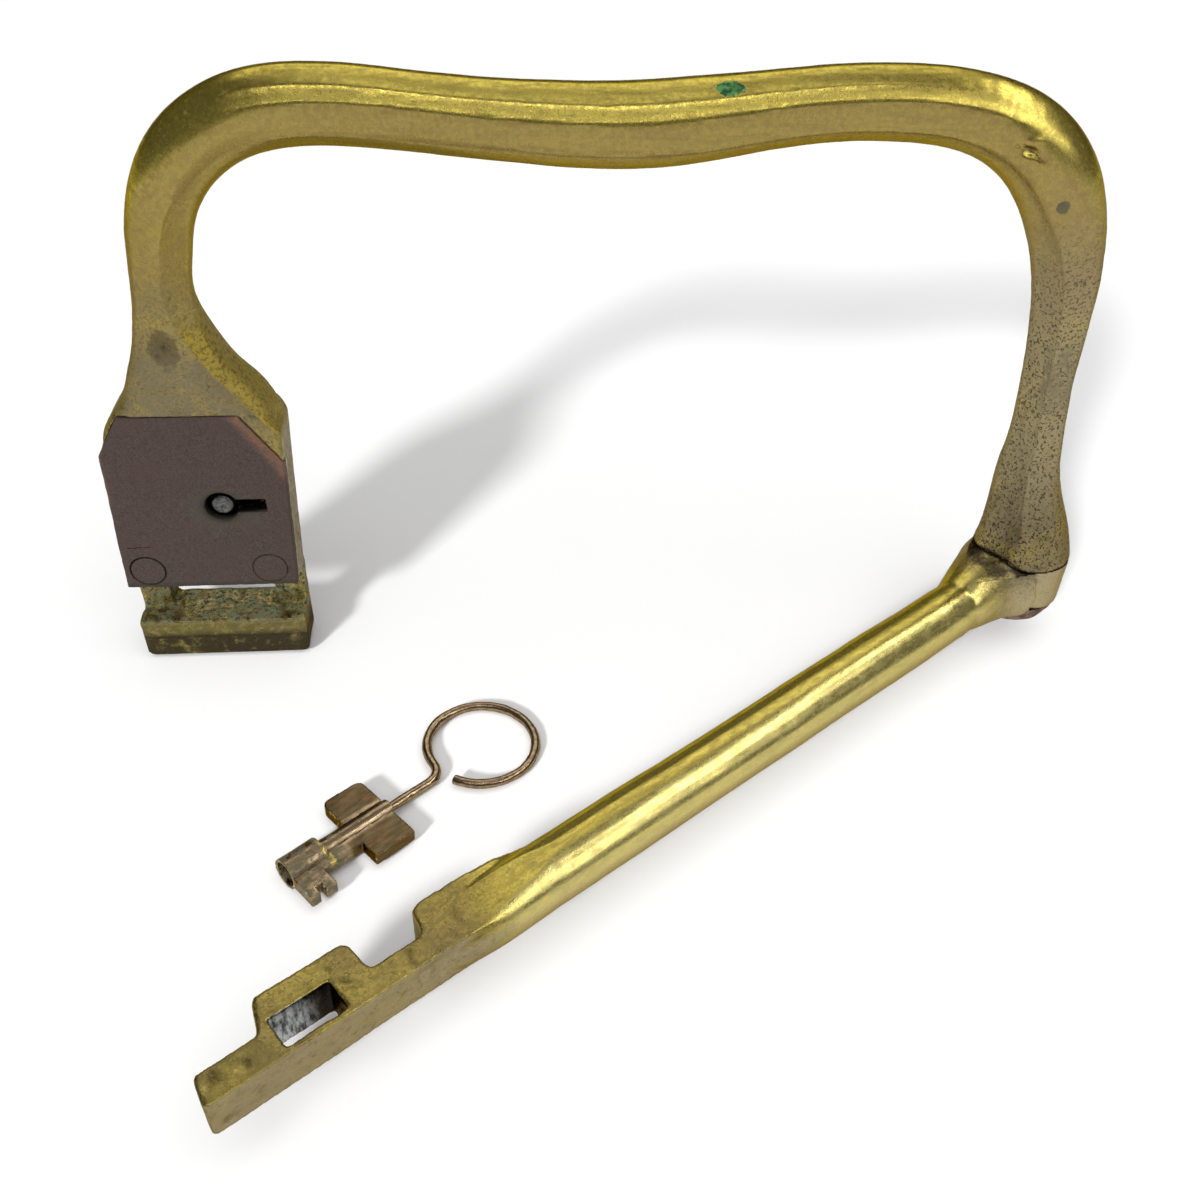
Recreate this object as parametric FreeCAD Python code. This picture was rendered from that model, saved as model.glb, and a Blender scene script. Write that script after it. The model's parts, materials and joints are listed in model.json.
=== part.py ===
"""Hinged locking handle in cast brass, with its pipe key.

Frame, in millimetres: Z runs up along the pivot pin, X runs from the lock case to the pivot, and
-Y is the keyhole side. The origin is the middle of the flat underside of the lock case's lip.
The bar is modelled swung open, and the key lies loose on the same surface, in front of the handle.
"""
import FreeCAD, Part
import math
import os

from FreeCAD import Vector

# ---- driving dimensions ----------------------------------------------------------------------
PIVOT_X = 100.0            # lock case centre to pivot axis
OPEN_ANGLE = 35.8          # the bar as modelled, in degrees from closed

CASE_HALF_WIDTH = 10.0     # lock case, along X
CASE_FRONT_Y = -2.5        # front of the cover plate and of the facet above it
CASE_BACK_Y = 4.4
CASE_BOTTOM_Z = 11.7       # roof of the tongue channel
CASE_TOP_Z = 35.0          # top edge of the cover plate
COVER_THICKNESS = 1.2
CASE_ROUNDING = 1.6        # back corners and underside
CASE_LEAN = 0.05           # sideways lean of the case's sides
BEVEL_X = 6.7              # upper end of the plate's chamfered corner

LIP_TOP_Z = 5.9            # floor of the tongue channel
LIP_FRONT_Y = -2.15
WALL_FRONT_Y = 0.95        # front of the channel's back wall
LUG_HOLE_X = (-6.4, 6.3)   # opening in that wall, which the tongue's lug enters

BAR_Z = 8.85               # axis of the swinging bar
BAR_DIAMETER = 6.7
EYE_RADIUS = 5.9           # also the radius of the handle's foot
EYE_BOTTOM_Z = 6.6
SPOT_FACE_RADIUS = 6.2     # washer seat, cut into the underside of eye and rod
FOOT_Z = 12.9              # underside of the handle's foot
PIN_RADIUS = 2.2
RUNNING_GAP = 0.1          # clearance at the pivot and along the bolt

TONGUE_THICKNESS = 4.9
WINDOW_U = (98.9, 104.7)   # window in the tongue, along the bar from the pivot
WINDOW_V = (-1.7, 1.5)     # and across it, positive towards the lug

KEY_PIN_X = 3.0            # drill pin axis
KEY_PIN_Z = 23.2
KEY_PIN_RADIUS = 1.3
BARREL_RADIUS = 1.75
BARREL_BORE_RADIUS = 1.4
PIN_ROOT_Y = 3.6           # blind end of the drill pin's hole in the case
BIT_REACH = 4.9            # key axis to the outer edge of the bit
NOTCH_S = (1.1, 1.8)       # ward notch in the bit, along the key from its open end
NOTCH_DEPTH = 1.0
PLATE_THICKNESS = 1.5      # bit, web and wings of the key
WIRE_RADIUS = 0.55

BOLT_X = (-4.5, 0.9)       # width of the bolt, which drops into the tongue's window
BOLT_Y = (-1.15, 1.15)
BOLT_BOTTOM_Z = 12.1
BOLT_TOP_Z = 29.6
BOLT_THROW = 3.85          # how far the key drives the bolt down

POCKET_BACK_Y = 1.9        # floor of the lock's works pocket
COVER_RIVET_X = 7.1
COVER_RIVET_Z = 14.2
SPRING_X = -6.9            # leaf spring, left of the bolt
SPRING_TOP_Z = 29.6

Z_AXIS = Vector(0, 0, 1)
Y_AXIS = Vector(0, 1, 0)


# ---- helpers ----------------------------------------------------------------------------------
def save(shape, name):
    """Writes one node, after checking that it is sound."""
    if not shape.isValid() or shape.Volume <= 0:
        raise RuntimeError(name + " is not a sound solid")
    shape.exportStep(os.path.join("parts", name + ".step"))
    print(name, len(shape.Solids), "solid(s)", round(shape.Volume, 2), "mm3")


def box(x, y, z):
    """Box from three (low, high) pairs."""
    low = Vector(x[0], y[0], z[0])
    return Part.makeBox(x[1] - x[0], y[1] - y[0], z[1] - z[0], low)


def cylinder_z(radius, x, y, z):
    return Part.makeCylinder(radius, z[1] - z[0], Vector(x, y, z[0]), Z_AXIS)


def cylinder_y(radius, x, y, z):
    return Part.makeCylinder(radius, y[1] - y[0], Vector(x, y[0], z), Y_AXIS)


def prism(points, low, high, plane):
    """Polygon in the XY or XZ plane, pulled from low to high along the third axis."""
    if plane == "XY":
        corners = [Vector(a, b, low) for a, b in points]
        pull = Vector(0, 0, high - low)
    else:
        corners = [Vector(a, low, b) for a, b in points]
        pull = Vector(0, high - low, 0)
    return Part.Face(Part.makePolygon(corners + corners[:1])).extrude(pull)


def edges_near(shape, test):
    """Edges whose middle point passes the test."""
    found = []
    for edge in shape.Edges:
        middle = edge.valueAt((edge.FirstParameter + edge.LastParameter) / 2)
        if test(middle):
            found.append(edge)
    return found


def rounded_vertical(shape, corners, tolerance=0.05):
    """Fillets the vertical edges that stand at given corners, as {(x, y): radius}."""
    for (x, y), radius in corners.items():
        picked = edges_near(shape, lambda p: math.hypot(p.x - x, p.y - y) < tolerance)
        shape = shape.makeFillet(radius, picked)
    return shape


def section(centre, across, depth_axis, half_width, half_depth, squareness=2.0, count=20):
    """Closed smooth section: an ellipse at squareness 2, nearer a rectangle above that."""
    points = []
    for i in range(count):
        angle = 2 * math.pi * i / count
        c, s = math.cos(angle), math.sin(angle)
        a = half_width * math.copysign(abs(c) ** (2 / squareness), c)
        b = half_depth * math.copysign(abs(s) ** (2 / squareness), s)
        points.append(centre + across * a + depth_axis * b)
    curve = Part.BSplineCurve()
    curve.interpolate(points, PeriodicFlag=True)
    return Part.Wire([curve.toShape()])


# ---- the handle's line ------------------------------------------------------------------------
# x, z and diameter along the handle, from the neck above the lock case to the pivot foot.
HANDLE_LINE = [
    (1.2, 49.5, 6.2), (1.9, 54.0, 6.4), (3.5, 58.9, 6.9), (7.0, 63.3, 7.4), (12.3, 66.1, 7.4),
    (19.5, 66.9, 7.3), (29.0, 66.1, 7.1), (39.5, 65.2, 7.5), (50.0, 65.0, 8.0), (60.5, 66.2, 7.3),
    (71.5, 67.1, 7.0), (80.5, 66.4, 7.4), (87.5, 63.6, 8.2), (92.3, 58.3, 8.3), (95.1, 51.5, 7.5),
    (96.5, 43.0, 6.4), (97.2, 34.0, 5.9), (97.7, 27.5, 6.6), (98.5, 20.5, 8.5), (99.5, 15.5, 10.6),
]
# Neck above the case: z, middle x, half width, middle y, half depth, squareness.
NECK = [
    (30.6, 0.95, 9.5, 0.95, 3.40, 6.0), (33.2, 1.3, 9.2, 0.95, 3.45, 6.0),
    (35.6, 1.7, 8.0, 0.92, 3.42, 5.6), (38.7, 1.45, 6.15, 0.80, 3.30, 4.6),
    (41.7, 1.15, 4.75, 0.58, 3.15, 3.6), (45.0, 1.05, 3.7, 0.30, 3.1, 2.7),
]


def handle_bar():
    """The humped round handle, from inside the lock case to the foot on the pivot."""
    wires = []
    for z, x, half_width, y, half_depth, squareness in NECK:
        centre = Vector(x, y, z)
        wires.append(section(centre, Vector(1, 0, 0), Y_AXIS, half_width, half_depth, squareness))
    points = [Vector(x, 0, z) for x, z, _ in HANDLE_LINE]
    points = [Vector(NECK[-1][1], 0, NECK[-1][0])] + points + [Vector(PIVOT_X, 0, FOOT_Z)]
    for i, (x, z, diameter) in enumerate(HANDLE_LINE):
        along = points[i + 2] - points[i]
        along.normalize()
        across = Y_AXIS.cross(along)
        wires.append(section(Vector(x, 0, z), across, Y_AXIS, diameter / 2, diameter / 2))
    foot = Vector(PIVOT_X, 0, FOOT_Z)
    wires.append(section(foot, Vector(-1, 0, 0), Y_AXIS, EYE_RADIUS, EYE_RADIUS))
    return Part.makeLoft(wires, True, False)


def lean(z):
    """The case's sides lean slightly towards the pivot as they rise from the channel."""
    return (z - CASE_BOTTOM_Z) * CASE_LEAN


def case_outline():
    """Front outline of the lock case and of its cover plate, in X and Z."""
    w = CASE_HALF_WIDTH
    return [(-w, CASE_BOTTOM_Z), (w, CASE_BOTTOM_Z), (w + lean(28.9), 28.9), (BEVEL_X, CASE_TOP_Z),
            (-6.2, CASE_TOP_Z), (-w + lean(30.2), 30.2)]


def case_block():
    """Lock case, channel wall and lip in one block, rounded at the back and below."""
    w = CASE_HALF_WIDTH
    outline = [(-w, 0), (w, 0), (w, CASE_BOTTOM_Z), (w + lean(32.6), 32.6), (9.2, 34.8), (-6.6, 34.8),
               (-w + lean(30.2), 30.2), (-w, CASE_BOTTOM_Z)]
    block = prism(outline, CASE_FRONT_Y, CASE_BACK_Y, "XZ")
    corners = edges_near(block, lambda p: abs(p.y - CASE_BACK_Y) < 0.01 and abs(p.x) > w - 0.7
                         and p.z < 25)
    corners += edges_near(block, lambda p: p.z < 0.01)
    return block.makeFillet(CASE_ROUNDING, corners)


def bow_casting():
    w = CASE_HALF_WIDTH
    cover_back = CASE_FRONT_Y + COVER_THICKNESS
    seat = prism(case_outline(), CASE_FRONT_Y - 5, cover_back, "XZ")
    shape = case_block().fuse(handle_bar()).cut(seat)
    # the inner shoulder is bevelled down from the plate's chamfered corner
    bevel = Part.makeBox(30, 12, 30, Vector(0, -12, -15))
    bevel.rotate(Vector(0, 0, 0), Z_AXIS, -38)
    bevel.rotate(Vector(0, 0, 0), Y_AXIS, -36.4)
    bevel.translate(Vector(BEVEL_X, CASE_FRONT_Y, CASE_TOP_Z))
    shape = shape.cut(bevel)
    # tongue channel, the opening in its back wall, and the lip's set-back front
    channel = box((-w - 1, w + 1), (CASE_FRONT_Y - 1, WALL_FRONT_Y), (LIP_TOP_Z, CASE_BOTTOM_Z))
    lug_hole = box(LUG_HOLE_X, (WALL_FRONT_Y - 1, CASE_BACK_Y + 1), (LIP_TOP_Z, CASE_BOTTOM_Z + 0.6))
    lip_front = box((-w - 1, w + 1), (CASE_FRONT_Y - 1, LIP_FRONT_Y), (-1, LIP_TOP_Z + 1))
    shape = shape.cut(channel).cut(lug_hole).cut(lip_front)
    # room for the lock: bolt guide, works pocket, key sweep, rivets and drill pin
    gap = RUNNING_GAP
    guide = box((BOLT_X[0] - gap, BOLT_X[1] + gap), (cover_back, BOLT_Y[1] + gap),
                (CASE_BOTTOM_Z - 0.1, 18.0))
    pocket = box((-7.8, 8.8), (cover_back, POCKET_BACK_Y), (16.8, 30.4))
    shape = shape.cut(guide).cut(pocket)
    for x in (-COVER_RIVET_X, COVER_RIVET_X):
        shape = shape.cut(cylinder_y(RIVET_SHANK_RADIUS, x, (cover_back, CASE_BACK_Y), COVER_RIVET_Z))
    shape = shape.cut(cylinder_y(KEY_PIN_RADIUS, KEY_PIN_X, (POCKET_BACK_Y, PIN_ROOT_Y), KEY_PIN_Z))
    spring_hole = cylinder_y(0.6, SPRING_RIVET_X, (POCKET_BACK_Y, POCKET_BACK_Y + 1.4), SPRING_RIVET_Z)
    shape = shape.cut(spring_hole)
    shape = shape.cut(cylinder_z(PIN_RADIUS, PIVOT_X, 0, (FOOT_Z - 1, FOOT_Z + 9)))
    return shape


# ---- lock works -------------------------------------------------------------------------------
COVER_RIVET_RADIUS = 2.0
RIVET_SHANK_RADIUS = 1.3
SPRING_RIVET_X = SPRING_X + 1.2
SPRING_RIVET_Z = SPRING_TOP_Z - 1.2


def cover_plate():
    cover_back = CASE_FRONT_Y + COVER_THICKNESS
    plate = prism(case_outline(), CASE_FRONT_Y, cover_back, "XZ")
    keyhole = cylinder_y(BARREL_RADIUS + 0.15, KEY_PIN_X, (CASE_FRONT_Y - 1, cover_back + 1), KEY_PIN_Z)
    slot = box((KEY_PIN_X, KEY_PIN_X + BIT_REACH + 0.1), (CASE_FRONT_Y - 1, cover_back + 1),
               (KEY_PIN_Z - 0.9, KEY_PIN_Z + 0.9))
    plate = plate.cut(keyhole.fuse(slot))
    for x in (-COVER_RIVET_X, COVER_RIVET_X):
        hole = cylinder_y(COVER_RIVET_RADIUS, x, (CASE_FRONT_Y - 1, cover_back + 1), COVER_RIVET_Z)
        plate = plate.cut(hole)
    return plate


def cover_rivet(x):
    cover_back = CASE_FRONT_Y + COVER_THICKNESS
    head = cylinder_y(COVER_RIVET_RADIUS, x, (CASE_FRONT_Y, cover_back), COVER_RIVET_Z)
    return head.fuse(cylinder_y(RIVET_SHANK_RADIUS, x, (cover_back, CASE_BACK_Y), COVER_RIVET_Z))


def drill_pin():
    tip_y = CASE_FRONT_Y + 0.35
    pin = cylinder_y(KEY_PIN_RADIUS, KEY_PIN_X, (tip_y, PIN_ROOT_Y), KEY_PIN_Z)
    return pin.makeFillet(0.4, edges_near(pin, lambda p: p.y < tip_y + 0.05))


def lock_bolt():
    """Flat bolt, drawn up, with a talon in its right edge that the key's bit pushes down or up."""
    left, right = BOLT_X
    talon = KEY_PIN_X - BIT_REACH - 0.3
    clear_of_barrel = KEY_PIN_X - 2.6
    talon_low = KEY_PIN_Z - 4.15 + BOLT_THROW
    talon_high = KEY_PIN_Z + 4.4
    outline = [(left, BOLT_BOTTOM_Z), (right, BOLT_BOTTOM_Z), (right, 16.4), (clear_of_barrel, 17.6),
               (clear_of_barrel, talon_low), (talon, talon_low), (talon, talon_high),
               (clear_of_barrel, talon_high), (clear_of_barrel, BOLT_TOP_Z), (left, BOLT_TOP_Z)]
    return prism(outline, BOLT_Y[0], BOLT_Y[1], "XZ")


def detent_spring():
    """Leaf spring with a foot riveted to the case, a straight leaf and a nose beside the bolt."""
    foot_y = (POCKET_BACK_Y - 0.4, POCKET_BACK_Y)
    leaf = box((SPRING_X, SPRING_X + 0.35), (-0.9, foot_y[0]), (17.4, SPRING_TOP_Z))
    foot = box((SPRING_X, SPRING_X + 2.0), foot_y, (SPRING_TOP_Z - 2.6, SPRING_TOP_Z))
    nose = cylinder_y(0.8, SPRING_X + 1.3, (-0.8, 0.8), 19.4)
    arm = box((SPRING_X + 0.2, SPRING_X + 1.3), (-0.8, 0.8), (19.1, 19.7))
    hole = cylinder_y(0.6, SPRING_RIVET_X, (0, 3.0), SPRING_RIVET_Z)
    return leaf.fuse([foot, nose, arm]).cut(hole).removeSplitter()


def spring_rivet():
    foot_front = POCKET_BACK_Y - 0.4
    head = cylinder_y(0.75, SPRING_RIVET_X, (foot_front - 0.35, foot_front), SPRING_RIVET_Z)
    return head.fuse(cylinder_y(0.6, SPRING_RIVET_X, (foot_front, POCKET_BACK_Y + 1.4), SPRING_RIVET_Z))


def case_ward():
    """Curved ward, standing on the pocket's floor, whose flange runs in the notch of the key's bit."""
    flange_y = (POCKET_BACK_Y - NOTCH_S[1] + 0.05, POCKET_BACK_Y - NOTCH_S[0] - 0.05)
    flange = cylinder_y(5.5, KEY_PIN_X, flange_y, KEY_PIN_Z)
    flange = flange.cut(cylinder_y(BIT_REACH - NOTCH_DEPTH + 0.1, KEY_PIN_X, (-3, 3), KEY_PIN_Z))
    wall = cylinder_y(5.5, KEY_PIN_X, (flange_y[0], POCKET_BACK_Y), KEY_PIN_Z)
    wall = wall.cut(cylinder_y(BIT_REACH + 0.1, KEY_PIN_X, (-3, 3), KEY_PIN_Z))
    corner = box((KEY_PIN_X, KEY_PIN_X + 6), (-3, 3), (KEY_PIN_Z + 2, KEY_PIN_Z + 6))
    return flange.fuse(wall).common(corner).removeSplitter()


# ---- pivot ------------------------------------------------------------------------------------
WASHER_Z = (EYE_BOTTOM_Z - 0.75, EYE_BOTTOM_Z - RUNNING_GAP)
WASHER_RADIUS = 5.6
HEAD_RADIUS = 5.2
HEAD_HEIGHT = 1.65
HEAD_ROUNDING = 1.1


def pivot_pin():
    shank = cylinder_z(PIN_RADIUS, PIVOT_X, 0, (WASHER_Z[0], FOOT_Z + 9))
    head_z = WASHER_Z[0] - HEAD_HEIGHT
    head = cylinder_z(HEAD_RADIUS, PIVOT_X, 0, (head_z, WASHER_Z[0]))
    head = head.makeFillet(HEAD_ROUNDING, edges_near(head, lambda p: p.z < head_z + 0.1))
    return shank.fuse(head).removeSplitter()


def pivot_washer():
    washer = cylinder_z(WASHER_RADIUS, PIVOT_X, 0, WASHER_Z)
    return washer.cut(cylinder_z(PIN_RADIUS, PIVOT_X, 0, (0, FOOT_Z)))


# ---- swinging bar -----------------------------------------------------------------------------
TONGUE_OUTLINE = [
    (85.0, -2.4), (112.5, -2.4), (111.9, 0.8), (106.1, 0.8), (104.9, 4.15), (95.7, 4.15), (95.5, 1.0),
    (95.2, 0.4), (90.3, 0.4), (89.8, 0.9), (89.4, 3.55), (85.0, 2.6),
]

# The round rod, and the neck that starts a hair inside it and flattens into the tongue: u, middle v,
# half width, half height, squareness.
ROD_U = (3.0, 76.0)
NECK_STATIONS = [
    (72.0, 0.0, 3.25, 3.25, 2.0), (76.0, 0.0, 3.32, 3.32, 2.0), (79.5, 0.03, 3.33, 3.3, 2.1),
    (82.5, 0.1, 3.25, 3.1, 2.3), (85.8, 0.2, 2.9, 2.65, 2.8), (88.6, 0.4, 2.2, 1.9, 3.2),
]


def swing_bar():
    """Built lying along +X from the pivot with the lug to -Y, then turned to its open place."""
    low, high = BAR_Z - TONGUE_THICKNESS / 2, BAR_Z + TONGUE_THICKNESS / 2
    tongue = prism([(u, -v) for u, v in TONGUE_OUTLINE], low, high, "XY")
    tongue = rounded_vertical(tongue, {(104.9, -4.15): 0.7, (95.7, -4.15): 0.8, (89.4, -3.55): 0.9,
                                       (112.5, 2.4): 0.5, (111.9, -0.8): 0.5})
    window = box(WINDOW_U, (-WINDOW_V[1], -WINDOW_V[0]), (low - 1, high + 1))
    # round rod, and the neck that flattens into the tongue
    rod_start = Vector(ROD_U[0], 0, BAR_Z)
    rod = Part.makeCylinder(BAR_DIAMETER / 2, ROD_U[1] - ROD_U[0], rod_start, Vector(1, 0, 0))
    wires = []
    for u, v, half_width, half_height, squareness in NECK_STATIONS:
        centre = Vector(u, v, BAR_Z)
        wires.append(section(centre, Y_AXIS, Z_AXIS, half_width, half_height, squareness))
    neck = Part.makeLoft(wires, True, False)
    # eye, and the neck that rises behind the handle's foot as a collar
    eye = cylinder_z(EYE_RADIUS, 0, 0, (EYE_BOTTOM_Z - 1.6, FOOT_Z - RUNNING_GAP))
    spot_face = cylinder_z(SPOT_FACE_RADIUS, 0, 0, (0, EYE_BOTTOM_Z))
    collar = Part.makeCone(6.3, 3.1, 10.0, Vector(3.0, 0, BAR_Z), Vector(1, 0, 0))
    collar = collar.common(box((0, 14), (-7, 7), (EYE_BOTTOM_Z - 0.9, FOOT_Z + 1.5)))
    foot_room = cylinder_z(EYE_RADIUS + 0.25, 0, 0, (FOOT_Z - RUNNING_GAP, FOOT_Z + 6))
    shape = rod.fuse(neck).fuse(tongue).fuse(collar).fuse(eye).cut(foot_room).cut(spot_face)
    shape = shape.cut(cylinder_z(PIN_RADIUS + RUNNING_GAP, 0, 0, (0, 30)))
    shape = shape.cut(window).removeSplitter()
    shape.rotate(Vector(0, 0, 0), Z_AXIS, 180 + OPEN_ANGLE)
    shape.translate(Vector(PIVOT_X, 0, 0))
    return shape


# ---- key --------------------------------------------------------------------------------------
# The key is built along +X from the barrel's open end, plate level, then laid on the surface.
KEY_TIP = Vector(11.5, -38.0, 0)
KEY_HEADING = 41.0
SHANK_RADIUS = 1.15
SHANK_END = 13.4
BARREL_LENGTH = 4.4
WING_S = (8.0, 13.1)
WING_REACH = 4.9
WEB_REACH = 2.5
RING_RADIUS = 6.3
KEY_LENGTH = 34.0          # barrel's open end to the far side of the ring


def laid(shape):
    """Puts a key piece in its place, tipped so that barrel and ring both touch the surface."""
    drop = math.atan2(BARREL_RADIUS - WIRE_RADIUS, KEY_LENGTH - BARREL_LENGTH)
    axis_height = BARREL_RADIUS + BARREL_LENGTH * math.sin(drop) + 0.03
    shape.rotate(Vector(0, 0, 0), Y_AXIS, math.degrees(drop))
    shape.rotate(Vector(0, 0, 0), Z_AXIS, KEY_HEADING)
    shape.translate(KEY_TIP + Vector(0, 0, axis_height))
    return shape


def key_round():
    """Barrel and shank, before the bore."""
    barrel = Part.makeCylinder(BARREL_RADIUS, BARREL_LENGTH, Vector(0, 0, 0), Vector(1, 0, 0))
    shank = Part.makeCylinder(SHANK_RADIUS, SHANK_END, Vector(0, 0, 0), Vector(1, 0, 0))
    return barrel.fuse(shank).removeSplitter()


def key_shank():
    bore = Part.makeCylinder(BARREL_BORE_RADIUS, BARREL_LENGTH - 0.25, Vector(0, 0, 0), Vector(1, 0, 0))
    socket = Part.makeCylinder(WIRE_RADIUS, 2.5, Vector(SHANK_END - 2.5, 0, 0), Vector(1, 0, 0))
    return key_round().cut(bore).cut(socket)


def key_blade():
    """Bit with its ward notch, web, and lower wing."""
    half = PLATE_THICKNESS / 2
    notch_floor = NOTCH_DEPTH - BIT_REACH
    outline = [(0, 0), (0, -BIT_REACH), (NOTCH_S[0], -BIT_REACH), (NOTCH_S[0], notch_floor),
               (NOTCH_S[1], notch_floor), (NOTCH_S[1], -BIT_REACH), (3.1, -BIT_REACH),
               (3.1, -WEB_REACH), (WING_S[0], -WEB_REACH), (WING_S[0], -WING_REACH),
               (WING_S[1], -WING_REACH), (WING_S[1], 0)]
    return prism(outline, -half, half, "XY").cut(key_round())


def key_upper_wing():
    half = PLATE_THICKNESS / 2
    plate = prism([(WING_S[0], 0), (WING_S[1], 0), (WING_S[1], WING_REACH), (WING_S[0], WING_REACH)],
                  -half, half, "XY")
    plate = rounded_vertical(plate, {(WING_S[0], WING_REACH): 0.8, (WING_S[1], WING_REACH): 0.8})
    return plate.cut(key_round())


def key_ring():
    """Straight tail, a tight bend aside, and an open ring, all of one wire."""
    bend_radius, turn = 2.2, math.radians(80)
    start, bend_start = SHANK_END - 2.5, 18.9
    half_turn = turn / 2
    bend_centre = Vector(bend_start, bend_radius, 0)
    middle = bend_centre + Vector(math.sin(half_turn), -math.cos(half_turn), 0) * bend_radius
    bend_end = bend_centre + Vector(math.sin(turn), -math.cos(turn), 0) * bend_radius
    ring_centre = bend_end + Vector(math.sin(turn), -math.cos(turn), 0) * RING_RADIUS
    first = math.pi / 2 + turn
    sweep = math.radians(330)

    def on_ring(angle):
        return ring_centre + Vector(math.cos(angle), math.sin(angle), 0) * RING_RADIUS

    quarters = [bend_end] + [on_ring(first - i * sweep / 4) for i in range(1, 5)]
    path = Part.Wire([
        Part.LineSegment(Vector(start, 0, 0), Vector(bend_start, 0, 0)).toShape(),
        Part.Arc(Vector(bend_start, 0, 0), middle, bend_end).toShape(),
        Part.Arc(*quarters[:3]).toShape(),
        Part.Arc(*quarters[2:]).toShape(),
    ])
    profile = Part.Wire([Part.makeCircle(WIRE_RADIUS, Vector(start, 0, 0), Vector(1, 0, 0))])
    return path.makePipeShell([profile], True, False)


def main():
    os.makedirs("parts", exist_ok=True)
    save(bow_casting(), "bow_casting")
    save(cover_plate(), "cover_plate")
    save(cover_rivet(-COVER_RIVET_X), "cover_rivet_left")
    save(cover_rivet(COVER_RIVET_X), "cover_rivet_right")
    save(drill_pin(), "drill_pin")
    save(lock_bolt(), "lock_bolt")
    save(detent_spring(), "detent_spring")
    save(spring_rivet(), "spring_rivet")
    save(case_ward(), "case_ward")
    save(pivot_pin(), "pivot_pin")
    save(pivot_washer(), "pivot_washer")
    save(swing_bar(), "swing_bar")
    save(laid(key_shank()), "key_shank")
    save(laid(key_blade()), "key_blade")
    save(laid(key_upper_wing()), "key_upper_wing")
    save(laid(key_ring()), "key_ring")


main()
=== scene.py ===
"""Looks for the hinged locking handle: worn cast brass, a browned steel plate and a small pipe key.

Every CAD node that shows is replaced by a remeshed copy of itself with worn edges, cast
unevenness, dents and facets in its mesh; the hidden lock works keep their CAD meshes.
Lengths inside the shape and shader helpers are in millimetres of the row frame.
"""

import itertools
import json
import math

import bmesh
import bpy
import numpy as np
from mathutils import Matrix, Vector

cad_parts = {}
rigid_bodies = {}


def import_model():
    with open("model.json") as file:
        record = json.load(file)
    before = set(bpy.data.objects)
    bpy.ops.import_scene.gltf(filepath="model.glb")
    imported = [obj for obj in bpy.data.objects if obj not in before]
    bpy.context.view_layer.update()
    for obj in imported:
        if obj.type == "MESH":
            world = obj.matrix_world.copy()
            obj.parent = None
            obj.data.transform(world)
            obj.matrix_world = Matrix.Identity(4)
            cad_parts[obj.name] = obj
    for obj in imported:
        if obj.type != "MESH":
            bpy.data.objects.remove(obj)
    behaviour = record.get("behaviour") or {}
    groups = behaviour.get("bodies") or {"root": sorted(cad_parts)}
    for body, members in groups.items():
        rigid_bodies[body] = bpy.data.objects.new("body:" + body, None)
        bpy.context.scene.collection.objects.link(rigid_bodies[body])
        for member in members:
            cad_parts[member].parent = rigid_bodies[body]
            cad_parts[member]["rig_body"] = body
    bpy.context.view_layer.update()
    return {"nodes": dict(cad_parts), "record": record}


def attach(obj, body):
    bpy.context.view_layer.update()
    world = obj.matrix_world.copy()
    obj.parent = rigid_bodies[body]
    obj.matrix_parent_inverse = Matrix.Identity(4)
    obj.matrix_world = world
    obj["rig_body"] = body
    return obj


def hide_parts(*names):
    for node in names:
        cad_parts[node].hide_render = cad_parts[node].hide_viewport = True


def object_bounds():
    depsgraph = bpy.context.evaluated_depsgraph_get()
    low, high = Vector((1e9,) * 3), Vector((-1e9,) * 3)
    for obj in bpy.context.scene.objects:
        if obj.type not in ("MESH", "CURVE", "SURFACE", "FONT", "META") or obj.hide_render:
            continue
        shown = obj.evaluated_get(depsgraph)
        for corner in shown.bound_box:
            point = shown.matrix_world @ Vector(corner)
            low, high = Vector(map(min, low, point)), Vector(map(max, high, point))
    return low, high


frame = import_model()
MM = 0.001

# Places and sizes shared by the shapes and the materials, in millimetres.
PIVOT_X = 100.0
BAR_ANGLE = math.radians(35.8)    # how far the bar is swung open
EYE_RADIUS = 5.9
ROD_RADIUS = 3.45
NECK_START = 60.0                 # the bar is filed flat from here on, towards the tongue
TONGUE_TOP_Z = 11.36
FOOT_Z = 12.75                    # seam between the bar's eye and the handle's foot
KEY_ANGLE = math.radians(41.0)
KEY_END = (11.5, -38.0)
RIVET_X, RIVET_Z, RIVET_RADIUS = 7.1, 14.2, 2.0
KEYHOLE = (3.0, -2.5, 23.2)
GREY_SPOT = (91.2, -4.0, 58.3)

# Along the bar from the pivot, and across it towards the lug.
BAR_AXES = ((-math.cos(BAR_ANGLE), -math.sin(BAR_ANGLE)), (-math.sin(BAR_ANGLE), math.cos(BAR_ANGLE)))
# Along the key from its open end, and to its left.
KEY_AXES = ((math.cos(KEY_ANGLE), math.sin(KEY_ANGLE)), (-math.sin(KEY_ANGLE), math.cos(KEY_ANGLE)))


# ---- mesh helpers -------------------------------------------------------------------------------
def value_noise(points, size, seed):
    """Smooth noise from -1 to 1 with bumps about size across, the same at every run."""
    q = points / size + seed * 17.31
    cell = np.floor(q).astype(np.int64)
    part = q - cell
    part = part * part * (3 - 2 * part)
    total = np.zeros(len(points))
    for corner in itertools.product((0, 1), repeat=3):
        c = cell + np.array(corner)
        key = (c[:, 0] * 73856093) ^ (c[:, 1] * 19349663) ^ (c[:, 2] * 83492791)
        key = ((key ^ (key >> 13)) * 1274126177) & 0x7FFFFFFF
        value = (key % 10007) / 5003.5 - 1
        total += value * np.prod(np.where(corner, part, 1 - part), axis=1)
    return total


def smoothstep(low, high, x):
    t = np.clip((x - low) / (high - low), 0, 1)
    return t * t * (3 - 2 * t)


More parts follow.
